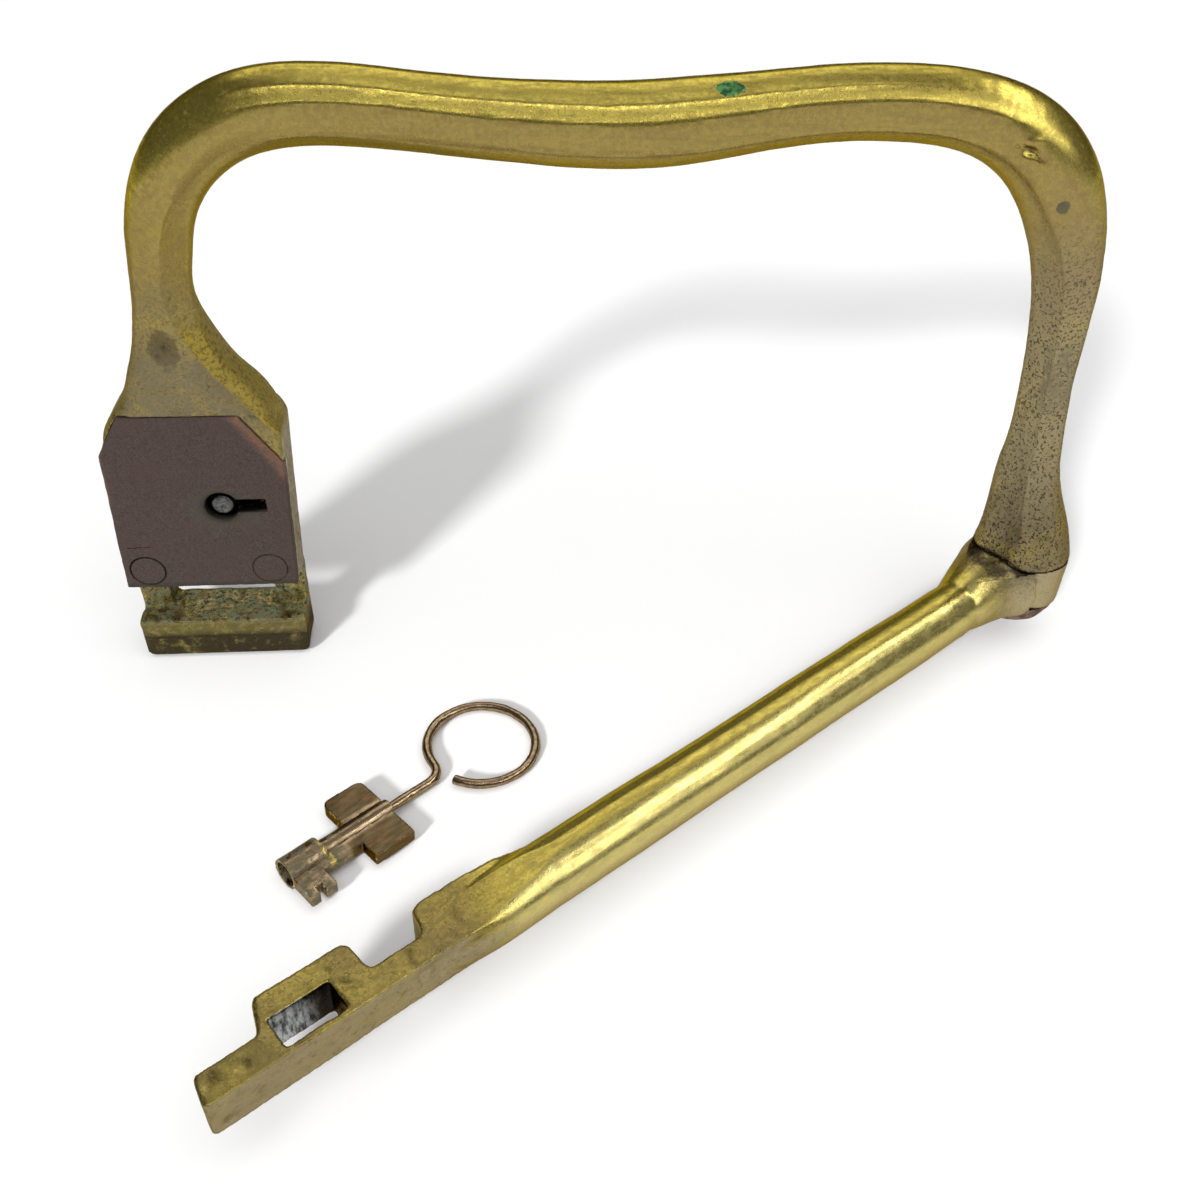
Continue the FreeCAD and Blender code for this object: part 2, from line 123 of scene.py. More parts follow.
def ball(points, centre, radii):
    """1 at the centre of an ellipsoid, falling smoothly to 0 at its surface."""
    d = np.linalg.norm((points - np.array(centre)) / np.array(radii), axis=1)
    return 1 - smoothstep(0, 1, d)


def groove(points, start, end, width):
    """1 on a straight scratch from start to end, 0 at width from it."""
    a, b = np.array(start), np.array(end)
    t = np.clip((points - a) @ (b - a) / ((b - a) @ (b - a)), 0, 1)
    d = np.linalg.norm(points - (a + t[:, None] * (b - a)), axis=1)
    return 1 - smoothstep(0, width, d)


def coordinates(mesh):
    co = np.zeros(len(mesh.vertices) * 3)
    mesh.vertices.foreach_get("co", co)
    return co.reshape(-1, 3)


def link(name, mesh, body):
    piece = bpy.data.objects.new(name, mesh)
    bpy.context.scene.collection.objects.link(piece)
    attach(piece, body)
    return piece


def evaluated(piece):
    """The piece's mesh with its modifiers applied."""
    graph = bpy.context.evaluated_depsgraph_get()
    mesh = bpy.data.meshes.new_from_object(piece.evaluated_get(graph))
    piece.modifiers.clear()
    return mesh


def worn(node, voxel, material, relief, smooth=2, extra=None, reshape=None):
    """A remeshed copy of a CAD node that stands for it. relief(points, normals) gives how far
    each vertex moves out along its normal, and reshape(points) then gives new places. extra is a
    mesh joined to the node's own. Voxel and relief are in millimetres."""
    source = frame["nodes"][node]
    slot = source.data.materials[0].name.split(".")[0] if source.data.materials else None
    names = [s["slot"] for s in frame["record"]["materials"]]
    slot = slot if slot in names else material.name
    mesh = source.data.copy()
    piece = link(node + "_worn", mesh, source["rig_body"])
    weld = bmesh.new()
    weld.from_mesh(mesh)
    if extra:
        weld.from_mesh(extra)
    bmesh.ops.remove_doubles(weld, verts=weld.verts, dist=1e-6)
    weld.to_mesh(mesh)
    weld.free()
    remesh = piece.modifiers.new("remesh", "REMESH")
    remesh.mode = "VOXEL"
    remesh.voxel_size = voxel * MM
    soften = piece.modifiers.new("soften", "SMOOTH")
    soften.factor = 0.5
    soften.iterations = smooth
    mesh = evaluated(piece)
    points = coordinates(mesh) / MM
    normals = np.zeros(len(mesh.vertices) * 3)
    mesh.vertices.foreach_get("normal", normals)
    normals = normals.reshape(-1, 3)
    points = points + normals * relief(points, normals)[:, None]
    if reshape:
        points = reshape(points)
    mesh.vertices.foreach_set("co", (points * MM).ravel())
    mesh.update()
    mesh.polygons.foreach_set("use_smooth", [True] * len(mesh.polygons))
    mesh.materials.clear()
    mesh.materials.append(material)
    piece.data = mesh
    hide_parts(node)
    return piece


# ---- shader helpers -----------------------------------------------------------------------------
class Shader:
    """A material and short names for the nodes that the materials here share."""

    def __init__(self, name):
        self.material = bpy.data.materials.new(name)
        self.material.use_nodes = True
        self.tree = self.material.node_tree
        self.surface = self.tree.nodes["Principled BSDF"]
        coords = self.tree.nodes.new("ShaderNodeTexCoord")
        self.normal = coords.outputs["Normal"]
        self.place = self.node("ShaderNodeVectorMath", {0: coords.outputs["Object"], "Scale": 1 / MM},
                               operation="SCALE").outputs[0]
        self.split = self.node("ShaderNodeSeparateXYZ", {0: self.place})
        self.facing = self.node("ShaderNodeSeparateXYZ", {0: self.normal})

    def node(self, kind, inputs=None, **settings):
        made = self.tree.nodes.new(kind)
        for name, value in settings.items():
            setattr(made, name, value)
        for socket, value in (inputs or {}).items():
            self.put(made.inputs[socket], value)
        return made

    def put(self, socket, value):
        if isinstance(value, bpy.types.NodeSocket):
            self.tree.links.new(value, socket)
        elif isinstance(value, (tuple, list)) and socket.type == "RGBA" and len(value) == 3:
            socket.default_value = (*value, 1)
        else:
            socket.default_value = value

    def math(self, operation, a, b=0.0):
        return self.node("ShaderNodeMath", {0: a, 1: b}, operation=operation).outputs[0]

    def add(self, *values):
        total = values[0]
        for value in values[1:]:
            total = self.math("ADD", total, value)
        return total

    def times(self, *values):
        total = values[0]
        for value in values[1:]:
            total = self.math("MULTIPLY", total, value)
        return total

    def either(self, *values):
        total = values[0]
        for value in values[1:]:
            total = self.math("MAXIMUM", total, value)
        return total

    def flip(self, value):
        return self.math("SUBTRACT", 1.0, value)

    def turned(self, origin, axes):
        """Distances from a point, along each of two level directions."""
        offsets = [self.add(self.split.outputs[i], -origin[i]) for i in range(2)]
        return [self.add(self.times(offsets[0], ax), self.times(offsets[1], ay)) for ax, ay in axes]

    def stretched(self, scale):
        """Position with a separate scale along X, Y and Z."""
        inputs = {0: self.place, 1: scale}
        return self.node("ShaderNodeVectorMath", inputs, operation="MULTIPLY").outputs[0]

    def noise(self, size, detail=4.0, roughness=0.6, vector=None):
        """Noise with features about size millimetres across."""
        inputs = {"Vector": vector or self.place, "Scale": 1 / size, "Detail": detail,
                  "Roughness": roughness}
        return self.node("ShaderNodeTexNoise", inputs).outputs["Fac"]

    def cells(self, size):
        """Distance to the middles of cells about size millimetres across."""
        inputs = {"Vector": self.place, "Scale": 1 / size}
        return self.node("ShaderNodeTexVoronoi", inputs).outputs["Distance"]

    def ramp(self, value, low, high):
        """0 below low and 1 above high, smooth between; low may be the larger."""
        inputs = {"Value": value, "From Min": low, "From Max": high}
        return self.node("ShaderNodeMapRange", inputs, interpolation_type="SMOOTHSTEP").outputs[0]

    def spread(self, value, low, high):
        """Stretches 0 to 1 into low to high."""
        inputs = {"Value": value, "To Min": low, "To Max": high}
        return self.node("ShaderNodeMapRange", inputs).outputs[0]

    def mix(self, factor, a, b, blend="MIX"):
        made = self.node("ShaderNodeMix", data_type="RGBA", blend_type=blend)
        self.put(made.inputs[0], factor)
        self.put(made.inputs[6], a)
        self.put(made.inputs[7], b)
        return made.outputs[2]

    def near(self, centre, radii, fuzz=0.35, grain=0.6):
        """1 inside an ellipsoid, with an uneven edge."""
        offset = self.node("ShaderNodeVectorMath", {0: self.place, 1: centre}, operation="SUBTRACT")
        scaled = self.node("ShaderNodeVectorMath", {0: offset.outputs[0], 1: radii},
                           operation="DIVIDE").outputs[0]
        length = self.node("ShaderNodeVectorMath", {0: scaled}, operation="LENGTH").outputs["Value"]
        uneven = self.add(length, self.spread(self.noise(grain), -fuzz, fuzz))
        return self.ramp(uneven, 1.15, 0.85)

    def edge(self, low, high):
        """0 to 1 over the mesh's pointiness: hollows are low and worn edges are high."""
        made = self.node("ShaderNodeNewGeometry")
        return self.ramp(made.outputs["Pointiness"], low, high)

    def finish(self, colour, roughness, metallic, height=None, strength=0.3, distance=0.1,
               rim=(0.45, 0.38, 0.25)):
        self.put(self.surface.inputs["Base Color"], colour)
        self.put(self.surface.inputs["Roughness"], roughness)
        self.put(self.surface.inputs["Metallic"], metallic)
        self.surface.inputs["Specular Tint"].default_value = (*rim, 1)
        if height is not None:
            inputs = {"Height": height, "Strength": strength, "Distance": distance * MM}
            self.put(self.surface.inputs["Normal"], self.node("ShaderNodeBump", inputs).outputs[0])
        return self.material


# ---- materials ----------------------------------------------------------------------------------
BRIGHT_BRASS = (0.58, 0.465, 0.09)
BRASS = (0.39, 0.30, 0.057)
OLIVE_BRASS = (0.26, 0.19, 0.05)
GREY_PATINA = (0.24, 0.195, 0.108)
DARK_PIT = (0.03, 0.022, 0.014)
VERDIGRIS = (0.19, 0.23, 0.14)


def brass_surface(shader, patina, pits, polish, edges, flow=None):
    """Colour, roughness and relief of old cast brass. patina darkens, pits adds black specks,
    polish brightens and edges shows worn rims; each is 0 to 1 over the surface. flow is the
    position the mottle is read at, stretched along the direction of wear."""
    cloud = shader.noise(7.0, 4.0, 0.55)
    mottle = shader.noise(0.55, 5.0, 0.72, vector=flow)
    grain = shader.noise(0.16, 3.0, 0.75)
    colour = shader.mix(shader.ramp(cloud, 0.40, 0.64), BRASS, OLIVE_BRASS)
    colour = shader.mix(shader.times(shader.ramp(mottle, 0.50, 0.72), 0.4), colour, OLIVE_BRASS)
    dull = shader.times(patina, shader.ramp(shader.add(grain, mottle, cloud), 1.0, 1.6))
    colour = shader.mix(dull, colour, GREY_PATINA)
    bright = shader.times(polish, shader.spread(shader.ramp(mottle, 0.66, 0.36), 0.45, 1.0))
    colour = shader.mix(bright, colour, BRIGHT_BRASS)
    fine = shader.ramp(shader.noise(0.30, 2.0, 0.6), 0.54, 0.61)
    coarse = shader.ramp(shader.noise(0.75, 4.0, 0.75), 0.60, 0.65)
    fine = shader.times(fine, shader.spread(pits, 0.1, 1.0))
    specks = shader.times(shader.either(fine, coarse), pits)
    colour = shader.mix(specks, colour, DARK_PIT)
    hollow = shader.edge(0.47, 0.42)
    colour = shader.mix(shader.times(hollow, 0.75), colour, DARK_PIT)
    rim = shader.times(shader.edge(0.54, 0.62), edges)
    colour = shader.mix(shader.times(rim, 0.6), colour, BRIGHT_BRASS)
    roughness = shader.spread(shader.ramp(mottle, 0.35, 0.7), 0.20, 0.32)
    roughness = shader.add(roughness, shader.times(dull, 0.12), shader.times(specks, 0.3),
                           shader.times(rim, 0.15))
    height = shader.add(shader.times(grain, 0.35), shader.times(mottle, 0.5),
                        shader.times(specks, -1.6))
    height = shader.times(height, shader.spread(polish, 1.0, 0.12))
    return colour, roughness, height, specks


def handle_brass():
    s = Shader("handle_brass")
    x, y, z = (s.split.outputs[i] for i in range(3))
    up = s.facing.outputs[2]
    left_leg = s.times(s.ramp(z, 62.0, 46.0), s.ramp(x, 30.0, 12.0))
    right_leg = s.times(s.ramp(z, 68.0, 50.0), s.ramp(x, 82.0, 94.0))
    foot = s.times(s.ramp(z, 30.0, 18.0), s.ramp(x, 60.0, 80.0))
    patina = s.either(s.times(left_leg, 0.75), s.times(right_leg, 1.0), s.times(foot, 1.0), 0.22)
    pits = s.either(s.times(right_leg, 0.95), s.times(foot, 1.0), s.times(left_leg, 0.6), 0.18)
    polish = s.times(s.ramp(z, 48.0, 62.0), 0.9)
    edges = s.times(s.ramp(z, 42.0, 36.0), s.ramp(x, 40.0, 25.0))
    colour, roughness, height, specks = brass_surface(s, patina, pits, polish, edges)
    pale = s.times(right_leg, s.flip(foot), s.flip(specks), 0.6)
    colour = s.mix(pale, colour, (0.38, 0.315, 0.175))
    # brushed bands along the grip
    streak = s.noise(0.5, 5.0, 0.65, vector=s.stretched((0.09, 1.0, 1.0)))
    grip = s.times(s.ramp(z, 58.0, 63.0), s.ramp(x, 6.0, 14.0), s.ramp(x, 92.0, 84.0))
    colour = s.mix(s.times(grip, s.ramp(streak, 0.45, 0.70), 0.5), colour, OLIVE_BRASS)
    # painted shade: the downward-facing faces of the upper bow are browned
    painted_underside = s.times(s.ramp(up, 0.32, 0.05), s.ramp(z, 40.0, 62.0))
    colour = s.mix(s.times(painted_underside, 0.65), colour, (0.225, 0.155, 0.065))
    outer = s.times(s.ramp(x, 3.0, -4.0), s.ramp(z, 50.0, 56.0), 0.55)
    colour = s.mix(outer, colour, (0.17, 0.125, 0.045))
    # dark patch on the stem and a grey bloom above the plate
    stem = s.near((0.6, -2.8, 43.0), (1.6, 3.0, 2.2), 0.6, 0.8)
    colour = s.mix(s.times(stem, 0.65), colour, (0.085, 0.065, 0.04))
    facet = s.times(s.ramp(y, -1.6, -2.2), s.ramp(z, 44.0, 40.0), s.ramp(z, 33.0, 35.5))
    colour = s.mix(s.times(facet, s.ramp(s.noise(1.3, 5.0, 0.7), 0.36, 0.62), 0.8), colour,
                   (0.20, 0.17, 0.105))
    # painted light: the right-facing bevel right of the stem is coloured brighter yellow, with dark
    # grains on it
    lit_bevel = s.times(s.ramp(s.add(x, s.times(z, 0.7), -32.7), 0.1, 0.4), s.ramp(z, 47.0, 44.0),
                    s.ramp(z, 32.0, 33.5), s.ramp(x, 30.0, 15.0),
                    s.ramp(s.facing.outputs[0], 0.12, 0.3))
    colour = s.mix(s.times(lit_bevel, 0.8), colour, (0.33, 0.245, 0.035))
    grains = s.ramp(s.noise(0.4, 4.0, 0.7), 0.48, 0.60)
    colour = s.mix(s.times(lit_bevel, grains, 0.7), colour, (0.10, 0.07, 0.02))
    # grey-beige right wall of the lock case
    wall = s.times(s.ramp(s.facing.outputs[0], 0.75, 0.9), s.ramp(x, 9.0, 9.6), s.ramp(x, 30.0, 20.0),
                   s.ramp(z, 33.5, 31.0), s.ramp(z, 8.0, 11.0))
    bare = s.mix(s.ramp(s.noise(0.7, 5.0, 0.75), 0.42, 0.62), (0.50, 0.46, 0.38), (0.24, 0.21, 0.15))
    colour = s.mix(s.times(wall, 0.9), colour, bare)
    # green spot, grey spot
    green = s.near((57.2, -1.9, 69.0), (1.35, 0.9, 0.9), 0.7, 0.4)
    green_tone = s.mix(s.ramp(s.noise(0.5), 0.4, 0.6), (0.008, 0.04, 0.012), (0.05, 0.17, 0.05))
    colour = s.mix(green, colour, green_tone)
    grey = s.near(GREY_SPOT, (0.62, 1.5, 0.7), 0.35, 0.4)
    colour = s.mix(s.times(grey, 0.85), colour, (0.075, 0.08, 0.05))
    # verdigris and crust in the tongue channel
    channel = s.times(s.ramp(z, 12.4, 11.4), s.ramp(x, 30.0, 15.0))
    crust = s.ramp(s.noise(1.1, 5.0, 0.7), 0.42, 0.60)
    inner = s.times(channel, s.ramp(z, 5.2, 6.0))
    crust_tone = s.mix(s.noise(0.4), (0.05, 0.075, 0.045), VERDIGRIS)
    colour = s.mix(s.times(inner, crust, 0.85), colour, crust_tone)
    cracks = s.times(inner, s.ramp(s.noise(0.55, 5.0, 0.75), 0.53, 0.60))
    colour = s.mix(s.times(cracks, 0.9), colour, (0.015, 0.016, 0.012))
    line = s.add(z, s.spread(s.noise(1.2), -0.5, 0.5), -3.4)
    line = s.ramp(s.math("ABSOLUTE", line), 0.24, 0.1)
    colour = s.mix(s.times(channel, line, s.ramp(y, 3.0, 0.0), 0.9), colour, (0.012, 0.010, 0.008))
    olive = s.times(channel, s.ramp(z, 5.9, 5.2), s.ramp(s.noise(0.8, 5.0, 0.7), 0.34, 0.55))
    colour = s.mix(s.times(olive, 0.75), colour, (0.12, 0.105, 0.035))
    # painted shade: the lower, rounded part of the lip is darkened
    lip_shade = s.times(channel, s.ramp(z, 4.6, 3.2))
    colour = s.mix(s.times(lip_shade, s.ramp(s.noise(1.5), 0.30, 0.5), 0.9), colour, (0.04, 0.031, 0.02))
    seam = s.times(s.ramp(z, 13.2, 13.0), s.ramp(x, 80.0, 90.0))
    colour = s.mix(seam, colour, DARK_PIT)
    matte = s.either(green, s.times(grey, 0.6), s.times(inner, crust))
    roughness = s.add(roughness, s.times(matte, 0.35), s.times(lit_bevel, 0.2))
    metallic = s.flip(s.times(s.either(matte, specks, s.times(lit_bevel, 0.6)), 0.85))
    return s.finish(colour, roughness, metallic, height, 0.4, 0.12)


def bar_brass():
    s = Shader("bar_brass")
    z = s.split.outputs[2]
    up = s.facing.outputs[2]
    along, across = s.turned((PIVOT_X, 0.0), BAR_AXES)
    eye = s.ramp(along, 14.0, 5.0)
    tongue = s.ramp(along, 80.0, 86.0)
    patina = s.either(s.times(eye, 0.9), s.times(tongue, 0.3), 0.2)
    neck = s.ramp(along, NECK_START, 84.0)
    pits = s.either(s.times(eye, 0.8), s.times(tongue, 0.35), s.times(neck, 0.35), 0.15)
    polish = s.times(s.flip(s.either(eye, tongue)), 0.85)
    flow = s.node("ShaderNodeCombineXYZ", {0: s.times(along, 0.3), 1: across, 2: z}).outputs[0]
    colour, roughness, height, specks = brass_surface(s, patina, pits, polish, tongue, flow)
    # painted highlight: the polished, front-facing side of the rod is lightened
    painted_highlight = s.times(polish, s.ramp(s.facing.outputs[1], -0.05, -0.3), 0.55)
    colour = s.mix(painted_highlight, colour, (0.64, 0.57, 0.25))
    colour = s.mix(s.times(s.ramp(along, 7.0, 5.5), s.flip(specks), 0.55), colour, (0.42, 0.36, 0.22))
    # painted reflection: the downward-facing side of the rod, apart from the tongue, is coloured pale
    # tan like the bright floor mirrored in it
    painted_underside = s.times(s.ramp(up, 0.4, -0.1), s.flip(tongue))
    colour = s.mix(s.times(painted_underside, 0.7), colour, (0.40, 0.335, 0.19))
    top = s.times(tongue, s.ramp(up, 0.8, 0.95))
    stain = s.ramp(s.noise(1.8, 5.0, 0.65), 0.40, 0.70)
    colour = s.mix(s.times(top, stain, 0.5), colour, (0.36, 0.28, 0.075))
    side = s.times(tongue, s.ramp(up, 0.5, 0.2))
    colour = s.mix(s.times(side, 0.75), colour, (0.30, 0.255, 0.165))
    stain = s.ramp(s.noise(0.8, 5.0, 0.7), 0.50, 0.68)
    colour = s.mix(s.times(side, stain, 0.5), colour, (0.13, 0.11, 0.07))
    # bare grey walls of the window, with painted shade darkening them towards the pivot
    inside = s.times(s.ramp(along, 98.5, 98.8), s.ramp(along, 105.1, 104.8),
                     s.ramp(across, -2.0, -1.8), s.ramp(across, 1.85, 1.65), s.ramp(up, 0.75, 0.6))
    lines = s.noise(0.5, 4.0, 0.7, vector=s.stretched((1.0, 1.0, 0.25)))
    wall = s.mix(s.ramp(lines, 0.40, 0.62), (0.42, 0.44, 0.45), (0.06, 0.065, 0.07))
    wall = s.mix(s.ramp(along, 103.0, 99.6), wall, (0.02, 0.02, 0.022))
    colour = s.mix(inside, colour, wall)
    # painted shade in the recess under the handle's foot
    recess_shade = s.near((95.0, -2.0, 13.1), (2.6, 4.6, 0.9), 0.3, 0.8)
    colour = s.mix(s.times(recess_shade, 0.85), colour, (0.03, 0.025, 0.018))
    seam = s.times(s.ramp(z, FOOT_Z - 0.13, FOOT_Z), s.ramp(along, 6.6, 5.8))
    colour = s.mix(seam, colour, DARK_PIT)
    metallic = s.flip(s.times(specks, 0.8))
    return s.finish(colour, roughness, metallic, height, 0.4, 0.12)


def cover_steel():
    s = Shader("cover_steel")
    x, y, z = (s.split.outputs[i] for i in range(3))
    sand = s.noise(0.16, 4.0, 0.8)
    cloud = s.noise(3.0, 4.0, 0.6)
    colour = s.mix(s.ramp(sand, 0.35, 0.68), (0.048, 0.035, 0.032), (0.115, 0.085, 0.078))
    colour = s.mix(s.times(s.ramp(cloud, 0.45, 0.7), 0.5), colour, (0.085, 0.058, 0.05))
    # rust along the chamfered corner and the upper left edge
    chamfer = s.add(s.times(s.add(x, -6.7), 0.85), s.times(s.add(z, -35.0), 0.52))
    right = s.times(s.ramp(s.add(chamfer, s.spread(s.noise(0.9), -0.8, 0.8)), -1.7, 0.1),
                    s.ramp(z, 22.0, 27.0))
    left = s.times(s.ramp(s.add(x, s.spread(s.noise(0.8), -0.4, 0.4)), -8.6, -9.3),
                   s.ramp(z, 22.0, 26.0))
    rust = s.either(right, s.times(left, 0.6))
    flakes = s.ramp(s.noise(0.4, 5.0, 0.75), 0.36, 0.62)
    colour = s.mix(s.times(rust, flakes, 0.85), colour, (0.17, 0.075, 0.035))
    # greasy halo round the keyhole
    halo = s.near((3.2, -2.5, 22.8), (3.9, 4.0, 3.0), 0.9, 1.0)
    grease = s.ramp(s.noise(0.5, 4.0, 0.7), 0.35, 0.6)
    colour = s.mix(s.times(halo, grease, 0.75), colour, (0.055, 0.06, 0.042))
    rim = s.near(KEYHOLE, (2.35, 4.0, 2.2), 0.25, 0.5)
    colour = s.mix(s.times(rim, 0.6), colour, (0.03, 0.03, 0.022))
    # painted shade: the inside of the keyhole is painted black
    keyhole_shade = s.times(s.near((5.0, 0.0, 23.2), (5.2, 2.35, 3.2), 0.0, 1.0), s.ramp(y, -2.44, -2.32))
    colour = s.mix(keyhole_shade, colour, (0.004, 0.004, 0.004))
    # rivet outlines
    rings = []
    flat = s.node("ShaderNodeCombineXYZ", {0: x, 1: 0.0, 2: z}).outputs[0]
    for side, strength in ((-RIVET_X, 0.95), (RIVET_X, 0.6)):
        away = s.node("ShaderNodeVectorMath", {0: flat, 1: (side, 0, RIVET_Z)}, operation="DISTANCE")
        line = s.ramp(s.math("ABSOLUTE", s.add(away.outputs["Value"], -RIVET_RADIUS)), 0.16, 0.06)
        broken = 1.0 if side < 0 else s.ramp(s.noise(1.6, 2.0), 0.42, 0.55)
        rings.append(s.times(line, broken, strength))
    ring = s.either(*rings)
    colour = s.mix(ring, colour, (0.006, 0.005, 0.005))
    # scratch above the left rivet and grime along the lower edge
    scratch = s.math("ABSOLUTE", s.add(z, s.times(s.noise(0.8), 0.4), -17.9))
    scratch = s.times(s.ramp(scratch, 0.09, 0.03), s.ramp(x, -9.0, -8.6), s.ramp(x, -5.6, -6.2))
    colour = s.mix(s.times(scratch, 0.85), colour, (0.012, 0.010, 0.010))
    grime = s.ramp(s.add(z, s.spread(s.noise(0.8), -0.4, 0.4)), 12.7, 12.0)
    colour = s.mix(s.times(grime, 0.8), colour, (0.02, 0.017, 0.013))
    worn_edge = s.edge(0.54, 0.62)
    colour = s.mix(s.times(worn_edge, 0.4), colour, (0.30, 0.25, 0.21))
    height = s.add(s.times(sand, 0.8), s.times(s.noise(0.5, 3.0), 0.5), s.times(ring, -1.2),
                   s.times(scratch, -0.5))
    roughness = s.add(s.spread(s.ramp(sand, 0.3, 0.7), 0.52, 0.70), s.times(halo, -0.12))
    metallic = s.times(s.flip(s.either(rust, grime, ring)), 0.55)
    return s.finish(colour, roughness, metallic, height, 0.35, 0.08)


def plain_metal(name, light, dark, speck, rough=(0.3, 0.5), size=0.8):
    """Small worn metal part: mottled between two tones, with specks in its hollows."""
    s = Shader(name)
    mottle = s.noise(size, 5.0, 0.68)
    colour = s.mix(s.ramp(mottle, 0.36, 0.64), light, dark)
    dots = s.times(s.ramp(s.cells(size * 0.5), 0.26, 0.10), s.ramp(s.noise(size * 2), 0.48, 0.60))
    colour = s.mix(s.times(dots, 0.8), colour, speck)
    colour = s.mix(s.times(s.edge(0.48, 0.43), 0.7), colour, speck)
    rubbed = tuple(min(1.0, c * 1.5) for c in light)
    colour = s.mix(s.times(s.edge(0.54, 0.62), 0.5), colour, rubbed)
    height = s.add(s.times(mottle, 0.6), s.times(dots, -1.0), s.times(s.noise(0.12, 3.0), 0.3))
    roughness = s.spread(s.ramp(mottle, 0.3, 0.7), *rough)
    return s.finish(colour, roughness, s.flip(s.times(dots, 0.7)), height, 0.25, 0.08)


def key_brass():
    s = Shader("key_brass")
    z = s.split.outputs[2]
    along, beside = s.turned(KEY_END, KEY_AXES)
    flow = s.node("ShaderNodeCombineXYZ", {0: s.times(along, 0.3), 1: beside, 2: z}).outputs[0]
    mottle = s.noise(0.5, 4.0, 0.6, vector=flow)
    colour = s.mix(s.ramp(mottle, 0.30, 0.75), (0.36, 0.27, 0.16), (0.17, 0.12, 0.07))
    wings = s.times(s.ramp(s.math("ABSOLUTE", beside), 1.2, 1.6), s.ramp(along, 6.4, 7.0))
    brown = s.mix(s.ramp(s.noise(1.4, 4.0, 0.6), 0.35, 0.65), (0.095, 0.052, 0.02),
                  (0.075, 0.058, 0.024))
    colour = s.mix(s.times(wings, 0.85), colour, brown)
    braze = s.times(s.ramp(s.math("ABSOLUTE", s.add(along, -4.45)), 0.45, 0.2),
                    s.ramp(s.noise(0.5), 0.35, 0.5))
    colour = s.mix(braze, colour, (0.62, 0.46, 0.14))
    grime = s.times(s.ramp(along, 7.2, 4.8), s.ramp(s.noise(0.9, 5.0, 0.7), 0.42, 0.60))
    colour = s.mix(s.times(grime, 0.85), colour, (0.075, 0.08, 0.05))
    colour = s.mix(s.times(s.edge(0.48, 0.42), 0.7), colour, (0.02, 0.015, 0.01))
    colour = s.mix(s.times(s.edge(0.53, 0.60), 0.6), colour, (0.72, 0.50, 0.26))
    height = s.add(s.times(mottle, 0.5), s.times(s.noise(0.2, 3.0), 0.2))
    roughness = s.add(s.spread(s.ramp(mottle, 0.3, 0.7), 0.20, 0.32), s.times(grime, 0.25))
    return s.finish(colour, roughness, s.flip(s.times(grime, 0.8)), height, 0.12, 0.05)


def floor_material():
    s = Shader("pale_floor")
    tone = s.spread(s.noise(60.0, 2.0), 0.86, 0.90)
    colour = s.node("ShaderNodeCombineColor", {0: tone, 1: tone, 2: tone}).outputs[0]
    return s.finish(colour, 0.8, 0.0, rim=(1, 1, 1))


# ---- relief of the cast parts -------------------------------------------------------------------
def hand_finish(points, worn_smooth):
    """Unevenness of a sand casting cleaned up by hand; the fine part goes where it is worn."""
    low = value_noise(points, 7.0, 1) * 0.10
    low += value_noise(points, 3.0, 2) * 0.045 * (1 - 0.6 * worn_smooth)
    fine = value_noise(points, 1.1, 3) * 0.022 + value_noise(points, 0.6, 4) * 0.012
    return low + fine * (1 - 0.7 * worn_smooth)


def flats(normals, radius, bands):
    """Planes filed along a round bar of that radius. bands are (direction, half angle): each
    plane meets the round surface at the half angle in a crisp ridge."""
    total = np.zeros(len(normals))
    for direction, half_angle in bands:
        d = np.array(direction, float)
        facing = normals @ (d / np.linalg.norm(d))
        edge = math.cos(math.radians(half_angle))
        total = np.minimum(total, radius * (edge / np.maximum(facing, edge) - 1))
    return total


def tilted(elevation):
    """Direction towards the keyhole side, raised by that many degrees."""
    return (0, -math.cos(math.radians(elevation)), math.sin(math.radians(elevation)))


